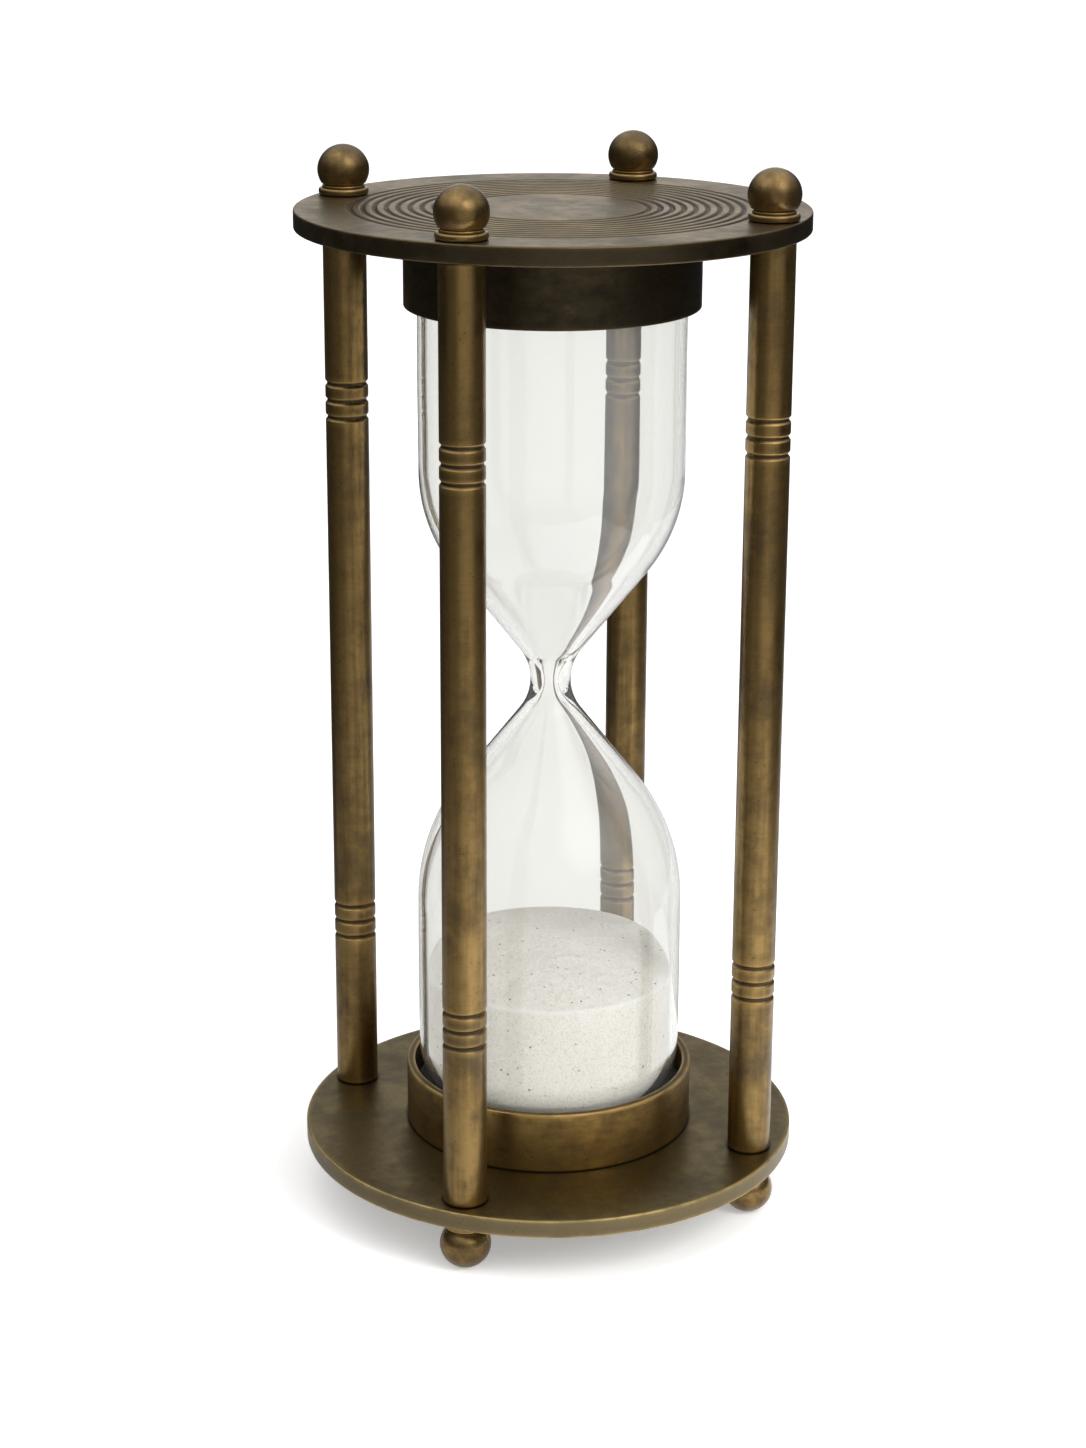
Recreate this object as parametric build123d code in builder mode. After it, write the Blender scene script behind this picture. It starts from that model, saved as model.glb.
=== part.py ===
from build123d import *
import os
from math import asin, cos, degrees, radians, sin, sqrt, tan

# Hourglass with a brass frame: two round plates on four columns, and a one-piece blown glass
# held between two collars. Millimetres. +Z is up, and the origin is on the table, on the axis.

# Plates
top_plate_diameter = 128.4
bottom_plate_diameter = 131.0
plate_thickness = 4.75
plate_gap = 240.0
plate_edge_round = 0.5

# Turned rings in the upper face of the top plate
ring_count = 10
ring_first_radius = 23.6
ring_pitch = 2.95
ring_width = 1.7
ring_depth = 0.4

# Columns, with two bands of three turned grooves
column_diameter = 11.2
column_circle_radius = 57.2
column_end_chamfer = 0.3
band_distance = 48.0
band_grooves = 3
band_pitch = 4.4
band_groove_width = 1.7
band_groove_depth = 0.5

# Ball ends, slightly flatter than round: finials above the top plate, longer feet below
ball_radius = 6.65
ball_half_height = 6.35
finial_centre_height = 6.3
foot_centre_height = 7.6
foot_wear_flat = 0.15
neck_diameter = 9.8
neck_height = 0.5
lip_diameter = 11.0
lip_height = 0.6
bead_diameter = 12.7
bead_height = 1.9

# Studs that screw into the column ends and the balls
stud_diameter = 4.0
stud_hole_diameter = 4.1
plate_hole_diameter = 4.5
stud_in_column = 12.0
stud_in_ball = 6.0
hole_spare_depth = 0.6

# Collars that hold the glass, let into the plates
top_collar_diameter = 74.6
bottom_collar_diameter = 76.4
collar_wall = 2.2
top_collar_height = 19.5
bottom_collar_height = 16.3
collar_seat_depth = 0.8
collar_seat_gap = 0.05
collar_rim_chamfer = 0.25

# Blown glass
glass_wall = 2.0
upper_bulb_radius = 34.0
lower_bulb_radius = 34.9
end_corner_radius = 20.0
waist_height_in_gap = 123.0
waist_radius = 5.3
waist_arc = 13.4
bore_radius = 1.35
bore_arc = 11.0
cone_angle = 38.0
upper_shoulder_arc = 41.0
lower_shoulder_arc = 52.0
fill_hole_diameter = 8.0

# Soft pieces, stopper and sand
cushion_thickness = 2.0
cushion_radius = 20.0
cushion_hole_radius = 5.5
packing_height = 9.0
packing_inner_radius = 27.0
soft_gap = 0.15
plug_inside = 4.0
plug_outside = 1.2
plug_taper = 0.25
sand_gap = 0.1
sand_edge_height = 44.5
sand_dome = 6.0

# Heights above the table
foot_height = foot_centre_height + ball_half_height - foot_wear_flat
bottom_plate_face = foot_height + plate_thickness
top_plate_face = bottom_plate_face + plate_gap
top_plate_top = top_plate_face + plate_thickness
waist_z = bottom_plate_face + waist_height_in_gap
glass_bottom = bottom_plate_face + cushion_thickness
glass_top = top_plate_face - cushion_thickness

corner_reach = column_circle_radius * cos(radians(45))
corners = {
    "front_left": (-corner_reach, -corner_reach),
    "front_right": (corner_reach, -corner_reach),
    "back_right": (corner_reach, corner_reach),
    "back_left": (-corner_reach, corner_reach),
}
collar_radii = {-1: bottom_collar_diameter / 2, 1: top_collar_diameter / 2}
bulb_radii = {-1: lower_bulb_radius, 1: upper_bulb_radius}
shoulder_arcs = {-1: lower_shoulder_arc, 1: upper_shoulder_arc}

os.makedirs("parts", exist_ok=True)


def save(piece, label):
    """Names a finished piece and writes its STEP file."""
    piece.part.label = label
    export_step(piece.part, f"parts/{label}.step")


def axis_plane(x, y):
    """Upright drawing plane on a vertical axis: its x is the radius, its y is the height."""
    return Plane(origin=(x, y, 0), x_dir=(1, 0, 0), z_dir=(0, -1, 0))


def upright(x, y):
    """The vertical axis through a point of the plan."""
    return Axis((x, y, 0), (0, 0, 1))


def groove_cutter(width, depth):
    """Radius of the round-nosed tool that leaves a groove of this width and depth."""
    return (width**2 / 4 + depth**2) / (2 * depth)


def blank_plate(diameter, low_face, seat_face, collar):
    """Solid disc with four stud holes and an annular seat for a collar of a given radius."""
    with BuildPart() as plate:
        with BuildSketch(Plane.XY.offset(low_face)):
            Circle(diameter / 2)
        extrude(amount=plate_thickness)
        fillet(plate.edges().filter_by(GeomType.CIRCLE), plate_edge_round)
        with BuildSketch(Plane.XY.offset(low_face)):
            with PolarLocations(column_circle_radius, 4, start_angle=45):
                Circle(plate_hole_diameter / 2)
        extrude(amount=plate_thickness, mode=Mode.SUBTRACT)
        with BuildSketch(Plane.XY.offset(seat_face)):
            Circle(collar + collar_seat_gap)
            Circle(collar - collar_wall - collar_seat_gap, mode=Mode.SUBTRACT)
        extrude(amount=collar_seat_depth, both=True, mode=Mode.SUBTRACT)
    return plate


def make_column(corner, x, y):
    """Turned rod, tapped at both ends, with a band of grooves near each end."""
    cutter = groove_cutter(band_groove_width, band_groove_depth)
    cutter_radius = column_diameter / 2 + cutter - band_groove_depth
    bands = [bottom_plate_face + band_distance, top_plate_face - band_distance]
    steps = [band_pitch * (i - (band_grooves - 1) / 2) for i in range(band_grooves)]
    with BuildPart() as column:
        with BuildSketch(Plane((x, y, bottom_plate_face))):
            Circle(column_diameter / 2)
        extrude(amount=plate_gap)
        chamfer(column.edges().filter_by(GeomType.CIRCLE), column_end_chamfer)
        with BuildSketch(axis_plane(x, y)):
            with Locations(*[(cutter_radius, band + step) for band in bands for step in steps]):
                Circle(cutter)
        revolve(axis=upright(x, y), mode=Mode.SUBTRACT)
        for end_face, inward in ((bottom_plate_face, 1), (top_plate_face, -1)):
            with BuildSketch(Plane((x, y, end_face))):
                Circle(stud_hole_diameter / 2)
            extrude(amount=inward * (stud_in_column + hole_spare_depth), mode=Mode.SUBTRACT)
    save(column, f"column_{corner}")


def make_stud(label, x, y, face, up):
    """Threaded stud through a plate; face is the plate's outer face, up points to the ball."""
    inner_end = face - up * (plate_thickness + stud_in_column)
    with BuildPart() as stud:
        with BuildSketch(Plane((x, y, inner_end))):
            Circle(stud_diameter / 2)
        extrude(amount=up * (stud_in_column + plate_thickness + bead_height + stud_in_ball))
        chamfer(stud.edges().filter_by(GeomType.CIRCLE), 0.4)
    save(stud, label)


def make_bead(label, x, y, face, up):
    """Round-edged washer between the ball and the plate."""
    half = bead_height / 2
    outer = bead_diameter / 2
    hole = stud_hole_diameter / 2
    far_face = face + up * bead_height
    with BuildPart() as bead:
        with BuildSketch(axis_plane(x, y)):
            with BuildLine():
                Line((outer - half, face), (hole, face))
                Line((hole, face), (hole, far_face))
                Line((hole, far_face), (outer - half, far_face))
                ThreePointArc((outer - half, far_face), (outer, face + up * half), (outer - half, face))
            make_face()
        revolve(axis=upright(x, y))
    save(bead, label)


def make_ball(label, x, y, face, up, centre_height, wear_flat):
    """Ball on a short lip, tapped for the stud. wear_flat is cut from its far end."""
    lip = (lip_diameter - lip_height) / 2
    neck = neck_diameter / 2
    centre = face + up * centre_height
    lip_low = face + up * bead_height
    lip_high = lip_low + up * lip_height
    ball_low = lip_high + up * neck_height
    low_angle = degrees(asin((bead_height + lip_height + neck_height - centre_height) / ball_half_height))
    with BuildPart() as nut:
        with BuildSketch(axis_plane(x, y)):
            with BuildLine():
                EllipticalCenterArc(
                    (0, centre), ball_radius, ball_half_height, up * 90, arc_size=up * (low_angle - 90)
                )
                Line((ball_radius * cos(radians(low_angle)), ball_low), (neck, lip_high))
                Line((neck, lip_high), (lip, lip_high))
                ThreePointArc((lip, lip_high), (lip_diameter / 2, (lip_low + lip_high) / 2), (lip, lip_low))
                Line((lip, lip_low), (0, lip_low))
                Line((0, lip_low), (0, centre + up * ball_half_height))
            make_face()
        revolve(axis=upright(x, y))
        with BuildSketch(Plane((x, y, lip_low))):
            Circle(stud_hole_diameter / 2)
        extrude(amount=up * (stud_in_ball + hole_spare_depth), mode=Mode.SUBTRACT)
        if wear_flat > 0:
            keep = Keep.BOTTOM if up > 0 else Keep.TOP
            split(bisect_by=Plane.XY.offset(centre + up * (ball_half_height - wear_flat)), keep=keep)
    save(nut, label)


def make_collar(label, face, up, height):
    """Short tube that stands on a plate's inner face, let into its seat, with an eased rim."""
    with BuildPart() as collar:
        with BuildSketch(Plane.XY.offset(face - up * collar_seat_depth)):
            Circle(collar_radii[-up])
            Circle(collar_radii[-up] - collar_wall, mode=Mode.SUBTRACT)
        extrude(amount=up * (height + collar_seat_depth))
        rim = collar.edges().filter_by(GeomType.CIRCLE).group_by(Axis.Z)[-1 if up > 0 else 0]
        chamfer(rim, collar_rim_chamfer)
    save(collar, label)


def make_cushion(label, face, up, hole_radius):
    """Cork disc between the plate and the flat end of the glass."""
    with BuildPart() as cushion:
        with BuildSketch(Plane.XY.offset(face)):
            Circle(cushion_radius)
            if hole_radius > 0:
                Circle(hole_radius, mode=Mode.SUBTRACT)
        extrude(amount=up * cushion_thickness)
    save(cushion, label)


def make_packing(label, face, up):
    """Felt wedge ring that fills the corner between the collar and the rounded glass end."""
    outer = collar_radii[-up] - collar_wall - soft_gap
    arc = end_corner_radius + soft_gap
    arc_x = bulb_radii[-up] - end_corner_radius
    arc_height = cushion_thickness + end_corner_radius
    top_x = arc_x + sqrt(arc**2 - (arc_height - packing_height) ** 2)
    inner_height = arc_height - sqrt(arc**2 - (packing_inner_radius - arc_x) ** 2)
    middle_x = arc_x + arc * sin(radians(45))
    middle_height = arc_height - arc * cos(radians(45))
    with BuildPart() as packing:
        with BuildSketch(Plane.XZ):
            with BuildLine():
                Line((packing_inner_radius, face), (outer, face))
                Line((outer, face), (outer, face + up * packing_height))
                Line((outer, face + up * packing_height), (top_x, face + up * packing_height))
                ThreePointArc(
                    (top_x, face + up * packing_height),
                    (middle_x, face + up * middle_height),
                    (packing_inner_radius, face + up * inner_height),
                )
                Line((packing_inner_radius, face + up * inner_height), (packing_inner_radius, face))
            make_face()
        revolve(axis=Axis.Z)
    save(packing, label)


def bulb_side(up, inset, waist, arc, end_z):
    """Adds one bulb's side to the open outline, from the waist to the middle of its closed end."""
    bulb = bulb_radii[up] - inset
    shoulder_arc = shoulder_arcs[up] - inset
    corner = end_corner_radius - inset
    rise = radians(cone_angle)
    run = bulb - waist - (arc + shoulder_arc) * (1 - cos(rise))
    neck = JernArc((waist, waist_z), (0, up), arc, -up * cone_angle)
    cone_end = neck @ 1 + Vector(run, up * run / tan(rise))
    cone = Line(neck @ 1, cone_end)
    shoulder = JernArc(cone @ 1, cone % 1, shoulder_arc, up * cone_angle)
    side = Line(shoulder @ 1, (bulb, end_z - up * corner))
    closed_end = JernArc(side @ 1, (0, up), corner, up * 90)
    Line(closed_end @ 1, (0, end_z))


# Frame: plates, columns, studs, beads, finials and feet
bottom_plate = blank_plate(bottom_plate_diameter, foot_height, bottom_plate_face, collar_radii[-1])
save(bottom_plate, "bottom_plate")

with BuildPart() as top_plate:
    add(blank_plate(top_plate_diameter, top_plate_face, top_plate_face, collar_radii[1]).part)
    ring_cutter = groove_cutter(ring_width, ring_depth)
    ring_radii = [ring_first_radius + ring_pitch * i for i in range(ring_count)]
    with BuildSketch(Plane.XZ):
        with Locations(*[(radius, top_plate_top + ring_cutter - ring_depth) for radius in ring_radii]):
            Circle(ring_cutter)
    revolve(axis=Axis.Z, mode=Mode.SUBTRACT)
save(top_plate, "top_plate")

for corner, (x, y) in corners.items():
    make_column(corner, x, y)
    make_stud(f"top_stud_{corner}", x, y, top_plate_top, 1)
    make_stud(f"bottom_stud_{corner}", x, y, foot_height, -1)
    make_bead(f"finial_bead_{corner}", x, y, top_plate_top, 1)
    make_bead(f"foot_bead_{corner}", x, y, foot_height, -1)
    make_ball(f"finial_{corner}", x, y, top_plate_top, 1, finial_centre_height, 0)
    make_ball(f"foot_{corner}", x, y, foot_height, -1, foot_centre_height, foot_wear_flat)

# Collars and the soft pieces behind them
make_collar("bottom_collar", bottom_plate_face, 1, bottom_collar_height)
make_collar("top_collar", top_plate_face, -1, top_collar_height)
make_cushion("bottom_cushion", bottom_plate_face, 1, 0)
make_cushion("top_cushion", top_plate_face, -1, cushion_hole_radius)
make_packing("bottom_packing", bottom_plate_face, 1)
make_packing("top_packing", top_plate_face, -1)

# Glass: both bulbs and the waist are one blown piece, with a fill hole in its upper end
with BuildPart() as glass_bulb:
    with BuildSketch(Plane.XZ):
        with BuildLine():
            bulb_side(-1, 0, waist_radius, waist_arc, glass_bottom)
            bulb_side(1, 0, waist_radius, waist_arc, glass_top)
            Line((0, glass_bottom), (0, glass_top))
        make_face()
    revolve(axis=Axis.Z)
    with BuildSketch(Plane.XZ):
        with BuildLine():
            bulb_side(-1, glass_wall, bore_radius, bore_arc, glass_bottom + glass_wall)
            bulb_side(1, glass_wall, bore_radius, bore_arc, glass_top - glass_wall)
            Line((0, glass_bottom + glass_wall), (0, glass_top - glass_wall))
        make_face()
    revolve(axis=Axis.Z, mode=Mode.SUBTRACT)
    with BuildSketch(Plane.XY.offset(glass_top)):
        Circle(fill_hole_diameter / 2)
    extrude(amount=-glass_wall, both=True, mode=Mode.SUBTRACT)
save(glass_bulb, "glass_bulb")

# Stopper in the fill hole
with BuildPart() as fill_plug:
    plug_radius = fill_hole_diameter / 2 - 0.05
    plug_low = glass_top - glass_wall - plug_inside
    plug_high = glass_top + plug_outside
    with BuildSketch(Plane.XZ):
        with BuildLine():
            Polyline(
                (0, plug_low),
                (plug_radius - plug_taper, plug_low),
                (plug_radius, glass_top),
                (plug_radius, plug_high),
                (0, plug_high),
                close=True,
            )
        make_face()
    revolve(axis=Axis.Z)
save(fill_plug, "fill_plug")

# Sand resting in the lower bulb, slightly domed
with BuildPart() as sand:
    sand_corner = end_corner_radius - glass_wall - sand_gap
    sand_radius = lower_bulb_radius - glass_wall - sand_gap
    sand_floor = glass_bottom + glass_wall + sand_gap
    sand_edge = bottom_plate_face + sand_edge_height
    with BuildSketch(Plane.XZ):
        with BuildLine():
            floor_line = Line((0, sand_floor), (sand_radius - sand_corner, sand_floor))
            corner_arc = JernArc(floor_line @ 1, (1, 0), sand_corner, 90)
            sand_side = Line(corner_arc @ 1, (sand_radius, sand_edge))
            TangentArc((0, sand_edge + sand_dome), sand_side @ 1, tangent=(1, 0))
            Line((0, sand_edge + sand_dome), (0, sand_floor))
        make_face()
    revolve(axis=Axis.Z)
save(sand, "sand")
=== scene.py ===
import math
from types import SimpleNamespace

import bmesh
import bpy
from mathutils import Matrix, Vector, noise


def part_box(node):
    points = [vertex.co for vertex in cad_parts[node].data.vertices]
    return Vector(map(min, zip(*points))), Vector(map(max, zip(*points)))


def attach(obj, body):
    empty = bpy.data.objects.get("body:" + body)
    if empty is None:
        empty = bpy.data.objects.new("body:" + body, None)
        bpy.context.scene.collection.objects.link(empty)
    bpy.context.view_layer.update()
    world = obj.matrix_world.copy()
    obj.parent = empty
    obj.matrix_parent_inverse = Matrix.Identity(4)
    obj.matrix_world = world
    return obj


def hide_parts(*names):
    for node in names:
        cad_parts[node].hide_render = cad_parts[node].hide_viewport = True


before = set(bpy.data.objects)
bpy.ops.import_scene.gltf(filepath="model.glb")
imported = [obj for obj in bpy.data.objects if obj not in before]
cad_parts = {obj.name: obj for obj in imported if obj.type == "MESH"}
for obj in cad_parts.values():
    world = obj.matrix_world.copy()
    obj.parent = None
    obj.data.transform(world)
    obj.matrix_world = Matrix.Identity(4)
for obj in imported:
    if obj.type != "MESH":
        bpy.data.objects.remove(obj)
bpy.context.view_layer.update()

MM = 0.001
ON_AXIS = 1e-7
UP, DOWN = 1, -1
CORNERS = ("front_left", "front_right", "back_right", "back_left")

# ---------------------------------------------------------------- sizes

plate_low, plate_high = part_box("top_plate")
base_low, base_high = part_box("bottom_plate")
RIM_ROUND = 0.5 * MM

# Rings turned in the upper face of the top plate.
RING_COUNT = 10
RING_FIRST = 23.6 * MM
RING_PITCH = 2.95 * MM
RING_WIDTH = 1.7 * MM
RING_DEPTH = 0.4 * MM

# Bands of three grooves, one near each end of a column.
BAND_DISTANCE = 48.0 * MM
BAND_PITCH = 4.4 * MM
BAND_WIDTH = 1.7 * MM
BAND_DEPTH = 0.5 * MM

# Each ball end: a round-edged bead on the plate, then the ball with its lip and neck.
BALL, BALL_HALF_HEIGHT = 6.65 * MM, 6.35 * MM
BEAD_RADIUS, BEAD_HEIGHT, BEAD_HOLE = 6.35 * MM, 1.9 * MM, 2.05 * MM
LIP_RADIUS, LIP_HEIGHT = 5.5 * MM, 0.6 * MM
NECK_RADIUS, NECK_HEIGHT = 4.9 * MM, 0.5 * MM
FINIAL_CENTRE, FOOT_CENTRE = 6.3 * MM, 7.6 * MM
FOOT_FLAT = 0.15 * MM

COLLAR_WALL = 2.2 * MM

# The blown glass: both bulbs, their cones and the thick waist between them.
WALL = 2.0 * MM
CORNER_ROUND = 20.0 * MM
CONE = math.radians(38.0)
WAIST_Z = base_high.z + 123.0 * MM
OUTER_WAIST, OUTER_WAIST_ARC = 5.3 * MM, 13.4 * MM
BORE, BORE_ARC = 1.35 * MM, 11.0 * MM
BULB_RADIUS = {DOWN: 34.9 * MM, UP: 34.0 * MM}
SHOULDER_ARC = {DOWN: 52.0 * MM, UP: 41.0 * MM}
FILL_HOLE = 4.0 * MM

# The sand, and the direction of the side that it last slid to.
SAND_GAP = 0.3 * MM
SAND_EDGE = base_high.z + 43.2 * MM
SAND_BACK_RISE = 4.0 * MM
SAND_DOME = 4.5 * MM
SAND_BACK = math.radians(66.5)
SAND_SEGMENTS, SAND_SIDE_ROWS, SAND_TOP_ROWS = 420, 60, 70

# The felt wedges and the cork discs.
PACKING_INNER = 27.0 * MM
PACKING_LIP = 30.6 * MM
PACKING_STEP = 5.4 * MM
STOPPER_ROOM = 5.5 * MM

# ---------------------------------------------------------------- values of the stage

PLAIN_WHITE = (1.0, 1.0, 0.985)
SHEET_GLOW = 0.30
SHADE_FROM, SHADE_TO = -0.20, 0.16
CAMERA_LENS, CAMERA_SENSOR = 74.21, 36.0
CAMERA_DISTANCE = 0.7415
CAMERA_HEIGHT = 0.3683
CAMERA_PITCH = math.radians(17.89)
CAMERA_TURN = math.radians(-23.43)
CAMERA_YAW = math.radians(0.147)
CAMERA_ROLL = math.radians(0.263)

# ---------------------------------------------------------------- outlines and meshes


def middle_of(node):
    """The vertical axis of a turned CAD node, as a point of the plan, and its radius."""
    low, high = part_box(node)
    return ((low.x + high.x) / 2, (low.y + high.y) / 2), (high.x - low.x) / 2


def arc(centre, radius, start, end, steps):
    """Points on an arc of (radius, height) space, between two angles in degrees."""
    points = []
    for i in range(steps + 1):
        angle = math.radians(start + (end - start) * i / steps)
        points.append((centre[0] + radius * math.cos(angle), centre[1] + radius * math.sin(angle)))
    return points


def soften(corners, closed=False, steps=6):
    """An outline with each (radius, height, rounding) corner turned into a small arc."""
    outline = []
    count = len(corners)
    for i, (x, z, rounding) in enumerate(corners):
        here = Vector((x, z))
        is_end = not closed and i in (0, count - 1)
        if rounding <= 0 or is_end:
            outline.append((x, z))
            continue
        before = Vector(corners[i - 1][:2]) - here
        after = Vector(corners[(i + 1) % count][:2]) - here
        half = before.angle(after) / 2
        reach = min(rounding / math.tan(half), before.length * 0.49, after.length * 0.49)
        start = here + before.normalized() * reach
        end = here + after.normalized() * reach
        for k in range(steps + 1):
            t = k / steps
            point = start * (1 - t) ** 2 + here * 2 * t * (1 - t) + end * t**2
            outline.append((point.x, point.y))
    return outline


def spaced(outline, step, closed=False):
    """The same outline with extra points, so that none is more than a step from the next."""
    points = []
    pairs = list(zip(outline, outline[1:] + outline[:1]))
    for a, b in pairs if closed else pairs[:-1]:
        parts = max(1, math.ceil(math.dist(a, b) / step))
        points += [(a[0] + (b[0] - a[0]) * k / parts, a[1] + (b[1] - a[1]) * k / parts) for k in range(parts)]
    return points if closed else points + [outline[-1]]


def edge_marks(outline, closed, spread=0.18 * MM, reach=40):
    """For each outline point, how sharply it turns: above 0 on an edge, below 0 in a groove. Also
    its distance along the outline. A turn is felt over a spread, up to a reach of points away."""
    count = len(outline)
    turns = []
    along = [0.0]
    for a, b in zip(outline, outline[1:]):
        along.append(along[-1] + math.dist(a, b))
    for i in range(count):
        if not closed and i in (0, count - 1):
            turns.append(0.0)
            continue
        a, b, c = (Vector(outline[j % count]) for j in (i - 1, i, i + 1))
        turns.append((b - a).angle_signed(c - b, 0.0) if (b - a).length and (c - b).length else 0.0)
    marks = []
    for i in range(count):
        total = 0.0
        for j in range(max(0, i - reach), min(count, i + reach + 1)):
            total += turns[j] * math.exp(-(((along[j] - along[i]) / spread) ** 2))
        marks.append(max(-1.0, min(1.0, -total)))
    return marks, along


def steepness(outline, closed):
    """For each outline point, 1 on an upright wall and 0 on a level face."""
    count = len(outline)
    steep = []
    for i in range(count):
        before = outline[i - 1] if closed or i else outline[i]
        after = outline[(i + 1) % count] if closed or i < count - 1 else outline[i]
        length = math.dist(before, after)
        steep.append(abs(after[1] - before[1]) / length if length else 0.0)
    return steep


def finish_mesh(name, mesh_data, material, replaced):
    """Makes the object, smooths it, gives it its material and ties it to the frame."""
    mesh = bpy.data.meshes.new(name)
    mesh_data.to_mesh(mesh)
    mesh_data.free()
    mesh.shade_smooth()
    piece = bpy.data.objects.new(name, mesh)
    bpy.context.scene.collection.objects.link(piece)
    mesh.materials.append(material)
    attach(piece, "root")
    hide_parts(*replaced)
    return piece


def add_skin(mesh, rows, closed=False):
    """Faces between each row of vertices and the next. A row of one vertex is a pole."""
    pairs = list(zip(rows, rows[1:]))
    if closed:
        pairs.append((rows[-1], rows[0]))
    for low, high in pairs:
        segments = max(len(low), len(high))
        for k in range(segments if segments > 1 else 0):
            after = (k + 1) % segments
            if len(low) == 1:
                mesh.faces.new((low[0], high[after], high[k]))
            elif len(high) == 1:
                mesh.faces.new((low[k], low[after], high[0]))
            else:
                mesh.faces.new((low[k], low[after], high[after], high[k]))
    bmesh.ops.recalc_face_normals(mesh, faces=mesh.faces)


def pattern_shift(name):
    """A shift in mm of a piece's patterns, different for each piece."""
    count = sum(ord(letter) for letter in name) % 97
    return Vector((61 * count, 43 * count, 0))


def lathe(
    name,
    outline,
    material,
    replaced,
    centre=(0.0, 0.0),
    segments=128,
    closed=False,
    wobble=None,
):
    """Turns an outline about a vertical axis. It runs anticlockwise, seen with the axis at its left.
    Each vertex keeps its edge mark, its distance along the outline, how upright its face is, its
    place from the axis in mm, and the same moved by a shift of the piece's own, for its pattern."""
    marks, along = edge_marks(outline, closed)
    walls = steepness(outline, closed)
    shift = pattern_shift(name)
    mesh = bmesh.new()
    edge_layer = mesh.verts.layers.float.new("edge")
    along_layer = mesh.verts.layers.float.new("along")
    wall_layer = mesh.verts.layers.float.new("wall")
    place_layer = mesh.verts.layers.float_vector.new("place")
    local_layer = mesh.verts.layers.float_vector.new("local")
    rows = []
    for (radius, height), mark, distance, wall in zip(outline, marks, along, walls):
        is_pole = radius < ON_AXIS
        row = []
        for k in range(1 if is_pole else segments):
            angle = 2 * math.pi * k / segments
            place = Vector((radius * math.cos(angle), radius * math.sin(angle), height))
            exact = place / MM
            local = exact + shift
            if wobble and not is_pole:
                place = wobble(place, local)
            vert = mesh.verts.new((place.x + centre[0], place.y + centre[1], place.z))
            vert[edge_layer] = mark
            vert[along_layer] = distance / MM
            vert[wall_layer] = wall
            vert[place_layer] = exact
            vert[local_layer] = local
            row.append(vert)
        rows.append(row)
    add_skin(mesh, rows, closed)
    return finish_mesh(name, mesh, material, replaced)


def hand_finish(amount, size):
    """A wobble that presses a surface in by up to an amount, in soft dents of a size in mm."""

    def press(place, local):
        depth = 0.5 + 0.5 * noise.noise(local / size)
        inward = Vector((place.x, place.y, 0)).normalized()
        return place - inward * (amount * depth)

    return press


# ---------------------------------------------------------------- material helpers


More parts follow.
